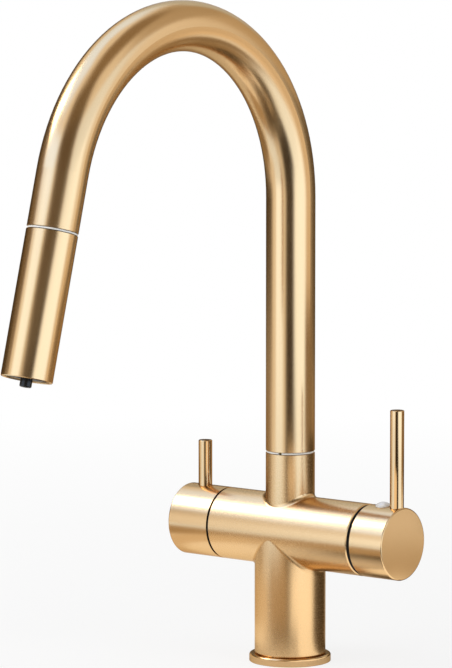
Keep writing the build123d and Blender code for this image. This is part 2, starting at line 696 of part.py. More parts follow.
with BuildPart() as aerator_housing:
    ring(HEAD, AERATOR_BORE_R, CORE_R, AERATOR_FOOT, AERATOR_END)

with BuildPart() as aerator_insert:
    ring(HEAD, NOZZLE_R + SNUG, AERATOR_BORE_R - SNUG, INSERT_FOOT, INSERT_FOOT + INSERT_H)
    spray_holes(INSERT_FOOT, INSERT_H)

with BuildPart() as aerator_screen:
    ring(HEAD, NOZZLE_R + SNUG, AERATOR_BORE_R - SNUG, INSERT_FOOT - SCREEN_H, INSERT_FOOT)
    spray_holes(INSERT_FOOT - SCREEN_H, SCREEN_H)

with BuildPart() as filter_nozzle:
    ring(HEAD, NOZZLE_BORE_R, NOZZLE_R, NOZZLE_FOOT, NOZZLE_END)
    nozzle_tip = filter_nozzle.faces().sort_by(Axis.Z)[0].edges()
    fillet(nozzle_tip.sort_by(SortBy.RADIUS)[-1], NOZZLE_EDGE)

# Mixer cartridge
with BuildPart() as cartridge_gasket:
    ring(MIXER, 0, DISC_R, SEAT_X, HOUSING_FOOT)
    for place in CARTRIDGE_PORTS:
        with BuildSketch(MIXER.offset(SEAT_X)):
            with Locations(place):
                Circle(CHANNEL_R + FREE)
        extrude(amount=CARTRIDGE_GASKET_H, mode=Mode.SUBTRACT)

with BuildPart() as cartridge_housing:
    outline = [
        (0, HOUSING_FOOT),
        (CARTRIDGE_R, HOUSING_FOOT),
        (CARTRIDGE_R, CAP_FOOT),
        (CARTRIDGE_R - HOUSING_WALL, CAP_FOOT),
        (CARTRIDGE_R - HOUSING_WALL, FIXED_DISC_FOOT),
        (0, FIXED_DISC_FOOT),
    ]
    turn(MIXER, outline)
    for place in CARTRIDGE_PORTS:
        with BuildSketch(MIXER.offset(HOUSING_FOOT)):
            with Locations(place):
                Circle(CHANNEL_R)
        extrude(amount=HOUSING_FLOOR, mode=Mode.SUBTRACT)

with BuildPart() as fixed_ceramic_disc:
    ring(MIXER, 0, DISC_R, FIXED_DISC_FOOT, FIXED_DISC_FOOT + FIXED_DISC_H)
    for place in CARTRIDGE_PORTS:
        with BuildSketch(MIXER.offset(FIXED_DISC_FOOT)):
            with Locations(place):
                Circle(CHANNEL_R)
        extrude(amount=FIXED_DISC_H, mode=Mode.SUBTRACT)

with BuildPart() as moving_ceramic_disc:
    ring(MIXER, 0, MOVING_DISC_R, MOVING_DISC_FOOT, CARRIER_FOOT)
    with BuildSketch(MIXER.offset(MOVING_DISC_FOOT)):
        with Locations((0, -OUTLET_DROP / 2)):
            Ellipse(MOVING_DISC_R / 2, OUTLET_DROP / 3)
    extrude(amount=MOVING_DISC_H / 2, mode=Mode.SUBTRACT)

with BuildPart() as disc_carrier:
    ring(MIXER, 0, CARRIER_R, CARRIER_FOOT, CARRIER_FOOT + CARRIER_H)
    pocket_w = 2 * (STEM_TIP_R + DISC_GAP * 2)
    bar(MIXER, pocket_w + FREE, pocket_w, CARRIER_FOOT, CARRIER_FOOT + CARRIER_H, Mode.SUBTRACT)

with BuildPart() as cartridge_driver:
    driver_r = CARTRIDGE_R - HOUSING_WALL - FREE
    outline = [
        (0, DRIVER_FOOT),
        (driver_r, DRIVER_FOOT),
        (driver_r, DRIVER_SHOULDER),
        (DRIVER_NECK_R, DRIVER_SHOULDER),
        (DRIVER_NECK_R, DRIVER_END),
        (0, DRIVER_END),
    ]
    turn(MIXER, outline)
    slot_w = STEM_WAIST_W + 2 * FREE
    bar(MIXER, slot_w, DRIVER_SLOT_L, DRIVER_FOOT, DRIVER_END, Mode.SUBTRACT)
    pin_half = PIVOT_PIN_L / 2
    drill((PIVOT_X, -pin_half, ARM_Z), (PIVOT_X, pin_half, ARM_Z), PIVOT_PIN_R + SNUG)

with BuildPart() as pivot_pin:
    drill((PIVOT_X, -pin_half, ARM_Z), (PIVOT_X, pin_half, ARM_Z), PIVOT_PIN_R, Mode.ADD)

with BuildPart() as cartridge_cap:
    ring(MIXER, DRIVER_NECK_R + FREE, CARTRIDGE_R, CAP_FOOT, NUT_FOOT)

with BuildPart() as cartridge_nut:
    ring(MIXER, CARTRIDGE_R - NUT_WALL, CARTRIDGE_R, NUT_FOOT, NUT_FOOT + NUT_H)
    notch_foot = NUT_FOOT + NUT_H - NUT_NOTCH_H
    bar(MIXER, NUT_NOTCH_W, 2 * CARTRIDGE_R, notch_foot, NUT_FOOT + NUT_H, Mode.SUBTRACT)
    bar(MIXER, 2 * CARTRIDGE_R, NUT_NOTCH_W, notch_foot, NUT_FOOT + NUT_H, Mode.SUBTRACT)

with BuildPart() as mixer_stem:
    waist_low = PIVOT_X - STEM_WAIST_BACK
    waist_high = DRIVER_END + STEM_SHOULDER_ROOM
    bar(MIXER, STEM_WAIST_W, STEM_W, waist_low, waist_high)
    bar(MIXER, STEM_W, STEM_W, waist_high, STEM_END)
    ring(MIXER, 0, STEM_TIP_NECK_R, STEM_TIP_X, waist_low)
    with Locations((STEM_TIP_X, 0, ARM_Z)):
        Sphere(STEM_TIP_R)
    drill((PIVOT_X, -STEM_W, ARM_Z), (PIVOT_X, STEM_W, ARM_Z), PIVOT_PIN_R + RUN)

# Ring that covers the cartridge in the gap behind the mixer drum, inside the ball that the edge
# of the drum's skirt sweeps as it tilts about the pivot
with BuildPart() as mixer_cover_ring:
    cover_foot = MIXER_ARM + SNUG
    cover_tip = MIXER_RIM - FREE
    sweep_r = hypot(MIXER_RIM - PIVOT_X, DRUM_BORE_R) - 2 * FREE
    tip_r = sqrt(sweep_r**2 - (cover_tip - PIVOT_X) ** 2)
    outline = [
        (CARTRIDGE_R - COVER_WALL, MIXER_ARM - COVER_SPIGOT_L),
        (CARTRIDGE_R, MIXER_ARM - COVER_SPIGOT_L),
        (CARTRIDGE_R, cover_foot),
        (ARM_R - COVER_INSET, cover_foot),
        (tip_r, cover_tip),
        (tip_r - COVER_LIP, cover_tip),
        (tip_r - COVER_LIP, cover_foot + COVER_FLOOR),
        (CARTRIDGE_R - COVER_WALL, cover_foot + COVER_FLOOR),
    ]
    turn(MIXER, outline)

# Mixer handle
SCREW_TIP = STEM_W / 2 + SNUG
with BuildPart() as mixer_drum:
    boss_foot = MIXER_RIM + MIXER_BOSS_BACK
    drum(MIXER, MIXER_RIM, MIXER_END, MIXER_CAVITY_END, MIXER_BOSS_R, boss_foot)
    end_face = mixer_drum.faces().sort_by(Axis.X)[-1]
    fillet(end_face.edges(), DRUM_END_EDGE)
    socket_w = STEM_W + 2 * SNUG
    bar(MIXER, socket_w, socket_w, boss_foot, STEM_END + SNUG, Mode.SUBTRACT)
    lever_seat(MIXER_LEVER_X)
    plug_seat_z = ARM_Z + ARM_R - PLUG_SEAT
    drill((PLUG_X, 0, plug_seat_z), (PLUG_X, 0, ARM_Z + ARM_R), PLUG_R + SNUG)
    drill((PLUG_X, 0, ARM_Z + MIXER_BOSS_R), (PLUG_X, 0, ARM_Z + ARM_R), PLUG_STEM_R + SNUG)
    drill((PLUG_X, 0, ARM_Z), (PLUG_X, 0, ARM_Z + ARM_R), GRUB_R + SNUG)

with BuildPart() as mixer_grub_screw:
    tip_z = ARM_Z + SCREW_TIP
    grub_screw((PLUG_X, 0, tip_z), (PLUG_X, 0, tip_z + GRUB_L), GRUB_R)

with BuildPart() as index_plug:
    with BuildSketch(Plane.XZ):
        with BuildLine():
            foot = (PLUG_X, ARM_Z + DRUM_BORE_R)
            crown = (PLUG_X, ARM_Z + ARM_R + PLUG_DOME)
            lip = (PLUG_X + PLUG_R, ARM_Z + ARM_R + PLUG_LIP)
            Line(crown, foot)
            Polyline(
                foot,
                (PLUG_X + PLUG_STEM_R, ARM_Z + DRUM_BORE_R),
                (PLUG_X + PLUG_STEM_R, plug_seat_z),
                (PLUG_X + PLUG_R, plug_seat_z),
                lip,
            )
            TangentArc(crown, lip, tangent=(1, 0))
        make_face()
    revolve(axis=Axis((PLUG_X, 0, 0), (0, 0, 1)))

with BuildPart() as mixer_lever:
    lever_pin(MIXER_LEVER_X, MIXER_LEVER_TOP)

# Filtered-water valve
with BuildPart() as filter_seat_seal:
    ring(FILTER, HEADWORK_NOSE_R - SEAT_SEAL_W, HEADWORK_NOSE_R, FILTER_SEAT, HEADWORK_FOOT)

with BuildPart() as filter_headwork:
    outline = [
        (VALVE_CHAMBER_R, HEADWORK_FOOT),
        (HEADWORK_NOSE_R, HEADWORK_FOOT),
        (HEADWORK_NOSE_R, HEADWORK_SHOULDER),
        (FILTER_BORE_R - SNUG, HEADWORK_SHOULDER),
        (FILTER_BORE_R - SNUG, HEX_FOOT),
        (SPINDLE_R + RUN, HEX_FOOT),
        (SPINDLE_R + RUN, HEADWORK_SHOULDER),
        (VALVE_CHAMBER_R, HEADWORK_SHOULDER),
    ]
    turn(FILTER, outline)
    with BuildSketch(FILTER.offset(HEX_FOOT)):
        RegularPolygon(HEADWORK_HEX_R, 6)
        Circle(SPINDLE_R + RUN, mode=Mode.SUBTRACT)
    extrude(amount=HEADWORK_HEX_H)
    window_x = (SPINDLE_FOOT + HEADWORK_SHOULDER) / 2
    for turn_angle in range(0, 360, 360 // WINDOW_COUNT):
        side = FILTER.from_local_coords(
            (
                HEADWORK_NOSE_R * cos(radians(turn_angle)),
                HEADWORK_NOSE_R * sin(radians(turn_angle)),
                window_x,
            )
        )
        drill((-window_x, 0, ARM_Z), side, WINDOW_R)

with BuildPart() as filter_fixed_disc:
    ring(FILTER, 0, VALVE_CHAMBER_R - SNUG, HEADWORK_FOOT, HEADWORK_FOOT + VALVE_DISC_H)
    with BuildSketch(FILTER.offset(HEADWORK_FOOT)):
        with PolarLocations(VALVE_PORT_OFFSET, 2):
            Circle(VALVE_PORT_R)
    extrude(amount=VALVE_DISC_H, mode=Mode.SUBTRACT)

with BuildPart() as filter_moving_disc:
    ring(FILTER, 0, VALVE_CHAMBER_R - FREE / 2, MOVING_VALVE_FOOT, SPINDLE_FOOT)
    with BuildSketch(FILTER.offset(MOVING_VALVE_FOOT)):
        with PolarLocations(VALVE_PORT_OFFSET, 2, 90):
            Circle(VALVE_PORT_R)
    extrude(amount=VALVE_DISC_H, mode=Mode.SUBTRACT)

with BuildPart() as filter_spindle:
    clip_r = SPINDLE_R - CLIP_GROOVE
    outline = [
        (0, SPINDLE_FOOT),
        (SPINDLE_HEAD_R, SPINDLE_FOOT),
        (SPINDLE_HEAD_R, SPINDLE_STEP),
        (SPINDLE_R, SPINDLE_STEP),
        (SPINDLE_R, SPINDLE_END),
        (0, SPINDLE_END),
    ]
    turn(FILTER, outline)
    low = SPINDLE_RING_X - SPINDLE_RING_R - SNUG
    high = SPINDLE_RING_X + SPINDLE_RING_R + SNUG
    ring(FILTER, SPINDLE_R - 2 * SPINDLE_RING_R - SNUG, SPINDLE_R, low, high, Mode.SUBTRACT)
    ring(FILTER, clip_r, SPINDLE_R, CLIP_FOOT, CLIP_FOOT + CLIP_H + SNUG, Mode.SUBTRACT)

with BuildPart() as spindle_o_ring:
    o_ring(FILTER, SPINDLE_R - SPINDLE_RING_R, SPINDLE_RING_X, SPINDLE_RING_R)

with BuildPart() as spindle_clip:
    ring(FILTER, clip_r + SNUG, clip_r + CLIP_W, CLIP_FOOT, CLIP_FOOT + CLIP_H)
    with BuildSketch(FILTER.offset(CLIP_FOOT)):
        with Locations((0, -clip_r - CLIP_W / 2)):
            Rectangle(clip_r, 2 * CLIP_W)
    extrude(amount=CLIP_H, mode=Mode.SUBTRACT)

# Ring that guides the filter drum's skirt and closes the gap behind it
with BuildPart() as filter_cover_ring:
    cover_foot = FILTER_ARM + SNUG
    cover_tip = FILTER_RIM - FREE
    spigot_r = CARTRIDGE_R - SNUG
    outline = [
        (spigot_r - COVER_WALL, FILTER_ARM - COVER_SPIGOT_L),
        (spigot_r, FILTER_ARM - COVER_SPIGOT_L),
        (spigot_r, cover_foot),
        (ARM_R - COVER_INSET, cover_foot),
        (ARM_R - COVER_INSET, cover_tip),
        (DRUM_BORE_R - FREE, cover_tip),
        (DRUM_BORE_R - FREE, cover_tip + COVER_REACH),
        (spigot_r - COVER_WALL, cover_tip + COVER_REACH),
    ]
    turn(FILTER, outline)

# Filtered-water handle
with BuildPart() as filter_drum:
    boss_foot = FILTER_RIM + FILTER_BOSS_BACK
    drum(FILTER, FILTER_RIM, FILTER_END, FILTER_CAVITY_END, FILTER_BOSS_R, boss_foot)
    end_face = filter_drum.faces().sort_by(Axis.X)[0]
    fillet(end_face.edges(), DRUM_END_EDGE)
    ring(FILTER, 0, SPINDLE_R + SNUG, boss_foot, SPINDLE_END + SNUG, Mode.SUBTRACT)
    lever_seat(-FILTER_LEVER_X)
    drill((-FILTER_SCREW_X, 0, ARM_Z), (-FILTER_SCREW_X, 0, ARM_Z - ARM_R), GRUB_R + SNUG)

with BuildPart() as filter_grub_screw:
    tip_z = ARM_Z - SPINDLE_R - SNUG
    grub_screw((-FILTER_SCREW_X, 0, tip_z), (-FILTER_SCREW_X, 0, tip_z - GRUB_L), GRUB_R)

with BuildPart() as filter_lever:
    lever_pin(-FILTER_LEVER_X, FILTER_LEVER_TOP)

PIECES = {
    "body_casting": body_casting,
    "base_flange": base_flange,
    "base_gasket": base_gasket,
    "inlet_manifold": inlet_manifold,
    "hot_feed_pipe": hot_feed_pipe,
    "cold_feed_pipe": cold_feed_pipe,
    "mixed_return_pipe": mixed_return_pipe,
    "filter_feed_pipe": filter_feed_pipe,
    "filter_return_pipe": filter_return_pipe,
    "swivel_bush": swivel_bush,
    "spout_slip_ring": spout_slip_ring,
    "neck_grub_screw": neck_grub_screw,
    "spout_tube": spout_tube,
    "spout_spigot": spout_spigot,
    "spout_o_rings": spout_o_rings,
    "dock_collar": dock_collar,
    "pullout_hose": pullout_hose,
    "hose_filter_tube": hose_filter_tube,
    "hose_tail": hose_tail,
    "hose_ferrule": hose_ferrule,
    "head_shell": head_shell,
    "head_core": head_core,
    "dock_o_ring": dock_o_ring,
    "hose_swivel_nut": hose_swivel_nut,
    "hose_seal": hose_seal,
    "head_filter_tube": head_filter_tube,
    "aerator_seal": aerator_seal,
    "aerator_housing": aerator_housing,
    "aerator_insert": aerator_insert,
    "aerator_screen": aerator_screen,
    "filter_nozzle": filter_nozzle,
    "cartridge_gasket": cartridge_gasket,
    "cartridge_housing": cartridge_housing,
    "fixed_ceramic_disc": fixed_ceramic_disc,
    "moving_ceramic_disc": moving_ceramic_disc,
    "disc_carrier": disc_carrier,
    "cartridge_driver": cartridge_driver,
    "pivot_pin": pivot_pin,
    "cartridge_cap": cartridge_cap,
    "cartridge_nut": cartridge_nut,
    "mixer_cover_ring": mixer_cover_ring,
    "mixer_stem": mixer_stem,
    "mixer_drum": mixer_drum,
    "mixer_grub_screw": mixer_grub_screw,
    "index_plug": index_plug,
    "mixer_lever": mixer_lever,
    "filter_seat_seal": filter_seat_seal,
    "filter_headwork": filter_headwork,
    "filter_fixed_disc": filter_fixed_disc,
    "filter_moving_disc": filter_moving_disc,
    "filter_spindle": filter_spindle,
    "spindle_o_ring": spindle_o_ring,
    "spindle_clip": spindle_clip,
    "filter_cover_ring": filter_cover_ring,
    "filter_drum": filter_drum,
    "filter_grub_screw": filter_grub_screw,
    "filter_lever": filter_lever,
}

os.makedirs("parts", exist_ok=True)
for name, piece in PIECES.items():
    piece.part.label = name
    export_step(piece.part, f"parts/{name}.step")
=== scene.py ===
import json
from math import ceil, cos, pi, radians, sin, tau

import bpy
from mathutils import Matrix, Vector


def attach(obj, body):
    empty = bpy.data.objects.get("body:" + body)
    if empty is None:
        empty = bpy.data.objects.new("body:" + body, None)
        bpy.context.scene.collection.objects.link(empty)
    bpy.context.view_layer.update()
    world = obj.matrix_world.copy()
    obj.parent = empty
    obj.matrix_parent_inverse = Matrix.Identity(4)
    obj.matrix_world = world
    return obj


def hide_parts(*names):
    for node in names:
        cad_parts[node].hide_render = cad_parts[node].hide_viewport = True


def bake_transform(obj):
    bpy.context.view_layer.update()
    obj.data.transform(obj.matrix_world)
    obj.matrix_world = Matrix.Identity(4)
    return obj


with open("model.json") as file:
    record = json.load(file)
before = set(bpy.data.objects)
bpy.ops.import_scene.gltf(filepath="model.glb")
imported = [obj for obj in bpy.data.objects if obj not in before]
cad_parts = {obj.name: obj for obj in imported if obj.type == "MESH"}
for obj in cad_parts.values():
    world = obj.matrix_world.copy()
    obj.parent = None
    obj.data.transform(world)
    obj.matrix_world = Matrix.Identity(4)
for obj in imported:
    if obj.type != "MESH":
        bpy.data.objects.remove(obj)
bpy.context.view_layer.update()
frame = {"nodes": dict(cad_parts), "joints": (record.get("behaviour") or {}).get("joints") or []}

# Brushed gold pull-out kitchen tap on a pale studio floor. Metres, +Z up, the spout reaches towards -Y.

NODES = frame["nodes"]
JOINTS = {joint["name"]: joint for joint in frame["joints"]}

# Picture and camera
PICTURE_W = 452
PICTURE_H = 668
CAMERA_AZIMUTH = 38.541
CAMERA_ELEVATION = 6.812
CAMERA_DISTANCE = 2.77035
CAMERA_FOCAL_PX = 4560.66
CAMERA_SIDE = -0.039203
CAMERA_HEIGHT = 0.201114
SENSOR = 36.0
CLIP_NEAR = 0.1
CLIP_FAR = 50.0

# Spout line, spray head and arms, as built
ARM_Z = 0.0805
ARCH_R = 0.108
ARCH_Z = 0.2845
SPOUT_TILT = radians(15.5)
SPOUT_END = 0.0345
ARCH_TURN = pi - SPOUT_TILT
SPOUT_WAY = Vector((0, -sin(SPOUT_TILT), -cos(SPOUT_TILT)))
SPOUT_SIDE = Vector((0, -cos(SPOUT_TILT), sin(SPOUT_TILT)))
ARCH_CENTRE = Vector((0, -ARCH_R, ARCH_Z))
ARCH_END = ARCH_CENTRE + SPOUT_SIDE * ARCH_R

# Pull-out hose
HOSE_R = 0.006
HOSE_FOOT = 0.013
HOSE_END = -0.02015
HOSE_STRETCH_START = -0.048
HOSE_STRETCH_END = -0.0294
HOSE_TRAVEL = JOINTS["pull_out"]["range_m"][1]
HOSE_SPLIT_SHARE = 0.62
HOSE_SPLIT_TURN = HOSE_SPLIT_SHARE * ARCH_TURN
BRAID_STRANDS = 8
BRAID_PITCH = 0.0047
BRAID_RELIEF = 0.0005
BRAID_SIDES = 64
BRAID_STEP = 0.0006
PLAIN_SIDES = 32
PLAIN_STEP = 0.002
BRAID_OVER = 0.3
HALVINGS = 40


def toward(azimuth, distance, height):
    """A point at an azimuth round the tap: 0 is in front of it, 90 on the mixer lever's side."""
    a = radians(azimuth)
    return Vector((sin(a) * distance, -cos(a) * distance, height))


def placed(name, data):
    """A new object in the scene."""
    made = bpy.data.objects.new(name, data)
    bpy.context.scene.collection.objects.link(made)
    return made


# Shader helpers

def add(tree, kind, inputs=None, **settings):
    """A new node with its settings made and its inputs set or linked."""
    made = tree.nodes.new(kind)
    for key, value in settings.items():
        setattr(made, key, value)
    for key, value in (inputs or {}).items():
        if isinstance(value, bpy.types.NodeSocket):
            tree.links.new(value, made.inputs[key])
        else:
            made.inputs[key].default_value = value
    return made


def new_material(name):
    """An empty material with its surface shader."""
    material = bpy.data.materials.new(name)
    material.use_nodes = True
    return material, material.node_tree, material.node_tree.nodes["Principled BSDF"]


def bumped(tree, shader, height, strength, distance):
    """Fine relief on a surface."""
    inputs = {"Height": height, "Strength": strength, "Distance": distance}
    normal = add(tree, "ShaderNodeBump", inputs).outputs["Normal"]
    tree.links.new(normal, shader.inputs["Normal"])


def mixed_surface(tree, output, share, first, second):
    """A mix of two shaders, as what an output shows."""
    inputs = {0: share, 1: first.outputs[0], 2: second.outputs[0]}
    mix = add(tree, "ShaderNodeMixShader", inputs)
    tree.links.new(mix.outputs[0], tree.nodes[output].inputs["Surface"])


def object_point(tree):
    """The point on the surface in the tap's own frame."""
    return add(tree, "ShaderNodeTexCoord").outputs["Object"]


def scaled(tree, vector, scale):
    return add(tree, "ShaderNodeMapping", {"Vector": vector, "Scale": scale}).outputs["Vector"]


def noise(tree, vector, scale=1.0, detail=3.0, roughness=0.55):
    inputs = {"Vector": vector, "Scale": scale, "Detail": detail, "Roughness": roughness}
    return add(tree, "ShaderNodeTexNoise", inputs).outputs["Fac"]


def ranged(tree, value, low, high, start=0.3, end=0.7):
    """A value spread from start..end to low..high."""
    inputs = {"Value": value, "From Min": start, "From Max": end, "To Min": low, "To Max": high}
    return add(tree, "ShaderNodeMapRange", inputs).outputs["Result"]


def calc(tree, operation, first, second=0.0):
    return add(tree, "ShaderNodeMath", {0: first, 1: second}, operation=operation).outputs[0]


def blended(tree, first, second, share):
    """Two values added up, the first with its share and the second with the rest."""
    first_part = calc(tree, "MULTIPLY", first, share)
    second_part = calc(tree, "MULTIPLY", second, 1 - share)
    return calc(tree, "ADD", first_part, second_part)


def dot(tree, vector, way):
    inputs = {0: vector, 1: way}
    return add(tree, "ShaderNodeVectorMath", inputs, operation="DOT_PRODUCT").outputs["Value"]


def combined(tree, x, y, z):
    return add(tree, "ShaderNodeCombineXYZ", {"X": x, "Y": y, "Z": z}).outputs["Vector"]


def length(tree, first, second):
    vector = combined(tree, first, second, 0.0)
    return add(tree, "ShaderNodeVectorMath", {0: vector}, operation="LENGTH").outputs["Value"]


# Places of the colours among a Mix node's inputs and outputs
MIX_FIRST = 6
MIX_SECOND = 7
MIX_RESULT = 2


def tinted(tree, factor, dark, light):
    """A colour between two, as the factor goes from 0 to 1."""
    mix = add(tree, "ShaderNodeMix", {"Factor": factor}, data_type="RGBA")
    mix.inputs[MIX_FIRST].default_value = (*dark, 1)
    mix.inputs[MIX_SECOND].default_value = (*light, 1)
    return mix.outputs[MIX_RESULT]


def shade(color, share):
    return tuple(min(c * share, 1.0) for c in color)


# Grain directions: each returns a vector that changes fast across the brush lines

GRAIN_ACROSS = 2600.0
GRAIN_ALONG = 26.0
SPOUT_SLANT = (0, 0.7, 0.7)


def grain_z(tree):
    """Lines along Z."""
    return scaled(tree, object_point(tree), (GRAIN_ACROSS, GRAIN_ACROSS, GRAIN_ALONG))


def grain_round_x(tree):
    """Turning lines round the arms' axis, and rings on the faces across it."""
    point = object_point(tree)
    out = calc(tree, "SUBTRACT", dot(tree, point, (0, 0, 1)), ARM_Z)
    radius = length(tree, dot(tree, point, (0, 1, 0)), out)
    along = dot(tree, point, (1, 0, 0))
    lines = calc(tree, "ADD", along, radius)
    return scaled(tree, combined(tree, lines, out, 0.0), (GRAIN_ACROSS, GRAIN_ALONG, 1.0))


def grain_round_z(tree):
    """Turning lines round Z."""
    return scaled(tree, object_point(tree), (GRAIN_ALONG, GRAIN_ALONG, GRAIN_ACROSS))


def grain_even(tree):
    """A fine grain the same in every direction."""
    return scaled(tree, object_point(tree), (GRAIN_ACROSS, GRAIN_ACROSS, GRAIN_ACROSS))


def grain_head(tree):
    """Lines along the spray head."""
    point = object_point(tree)
    across = dot(tree, point, SPOUT_SIDE)
    along = dot(tree, point, SPOUT_WAY)
    side = dot(tree, point, (1, 0, 0))
    return scaled(tree, combined(tree, side, across, along), (GRAIN_ACROSS, GRAIN_ACROSS, GRAIN_ALONG))


def grain_spout(tree):
    """Lines along the spout: up the straight, round the arch and down to the seam."""
    point = object_point(tree)
    inputs = {0: point, 1: ARCH_CENTRE}
    from_centre = add(tree, "ShaderNodeVectorMath", inputs, operation="SUBTRACT").outputs["Vector"]
    out = dot(tree, from_centre, (0, 1, 0))
    above = calc(tree, "MAXIMUM", dot(tree, from_centre, (0, 0, 1)), 0.0)
    rising = length(tree, out, above)
    before_end = calc(tree, "MAXIMUM", dot(tree, from_centre, -SPOUT_WAY), 0.0)
    falling = length(tree, dot(tree, from_centre, SPOUT_SIDE), before_end)
    on_rise = calc(tree, "GREATER_THAN", out, 0.0)
    step = calc(tree, "MULTIPLY", on_rise, calc(tree, "SUBTRACT", rising, falling))
    distance = calc(tree, "ADD", falling, step)
    along = dot(tree, point, SPOUT_SLANT)
    side = dot(tree, point, (1, 0, 0))
    return scaled(tree, combined(tree, side, distance, along), (GRAIN_ACROSS, GRAIN_ACROSS, GRAIN_ALONG))


# Materials

GOLD = (0.74, 0.485, 0.24)
GOLD_EDGE = (0.7, 0.6, 0.48)
CLOUD_SCALE = 38.0
LINE_SHARE = 0.65
LINE_HEIGHT = 0.00004
SKIN_CLOUD_SCALE = 114.0
SKIN_UNEVEN = 0.06
SKIN_HEIGHT = 0.00003
# Braid colours: painted shade for the grooves between the strands, and the strands' own grey
BRAID_GROOVE_SHADE = (0.025, 0.025, 0.027)
BRAID_PALE = (0.3, 0.3, 0.31)
BRAID_SHARE = 0.8
BRAID_LOW = 0.15
BRAID_HIGH = 0.85
BRAID_SMOOTHEST = 0.5
BRAID_ROUGHEST = 0.75
FIBRE_SCALE = 5200.0
FIBRE_DEPTH = 0.4
FIBRE_HEIGHT = 0.00005


def gold(name, grain, roughness, line_depth, color=GOLD, spread=0.025, uneven=0.025):
    """Gold-coated metal with fine brush lines, faint clouds and a little uneven gloss."""
    material, tree, shader = new_material(name)
    lines = noise(tree, grain(tree), detail=2.0)
    clouds = noise(tree, object_point(tree), CLOUD_SCALE, detail=4.0)
    blend = blended(tree, lines, clouds, LINE_SHARE)
    factor = ranged(tree, blend, 0.0, 1.0)
    color_socket = tinted(tree, factor, shade(color, 1 - spread), shade(color, 1 + spread))
    tree.links.new(color_socket, shader.inputs["Base Color"])
    rough = ranged(tree, blend, roughness - uneven, roughness + uneven)
    tree.links.new(rough, shader.inputs["Roughness"])
    shader.inputs["Metallic"].default_value = 1.0
    shader.inputs["Specular Tint"].default_value = (*GOLD_EDGE, 1)
    bumped(tree, shader, lines, line_depth, LINE_HEIGHT)
    return material


def plain_metal(name, color, roughness, grain, spread=0.12):
    """Uncoated turned or drawn metal."""
    return gold(name, grain, roughness, line_depth=0.3, color=color, spread=spread, uneven=0.05)


def moulded(name, color, roughness, mottle=0.06, specular=0.5, texture=3200.0, depth=0.15):
    """Moulded plastic, nylon, ceramic or rubber with a fine skin."""
    material, tree, shader = new_material(name)
    skin = noise(tree, object_point(tree), texture, detail=2.0)
    clouds = noise(tree, object_point(tree), SKIN_CLOUD_SCALE, detail=3.0)
    factor = ranged(tree, clouds, 0.0, 1.0)
    color_socket = tinted(tree, factor, shade(color, 1 - mottle), shade(color, 1 + mottle))
    tree.links.new(color_socket, shader.inputs["Base Color"])
    rough = ranged(tree, skin, roughness - SKIN_UNEVEN, roughness + SKIN_UNEVEN)
    tree.links.new(rough, shader.inputs["Roughness"])
    shader.inputs["Specular IOR Level"].default_value = specular
    bumped(tree, shader, skin, depth, SKIN_HEIGHT)
    return material


def braid(name):
    """Grey nylon braid: pale on the strands' crowns, with painted shade darkening it between them."""
    material, tree, shader = new_material(name)
    relief = add(tree, "ShaderNodeAttribute", attribute_name="relief").outputs["Fac"]
    fibre = noise(tree, object_point(tree), FIBRE_SCALE, detail=2.0)
    # The relief paints shade into the colour: near black in the grooves, the strands' grey on their crowns
    blend = blended(tree, relief, fibre, BRAID_SHARE)
    factor = ranged(tree, blend, 0.0, 1.0, BRAID_LOW, BRAID_HIGH)
    tree.links.new(tinted(tree, factor, BRAID_GROOVE_SHADE, BRAID_PALE), shader.inputs["Base Color"])
    rough = ranged(tree, fibre, BRAID_SMOOTHEST, BRAID_ROUGHEST)
    tree.links.new(rough, shader.inputs["Roughness"])
    bumped(tree, shader, fibre, FIBRE_DEPTH, FIBRE_HEIGHT)
    return material


RAW_BRASS = (0.62, 0.47, 0.2)
COPPER = (0.68, 0.36, 0.21)
STEEL = (0.58, 0.58, 0.58)

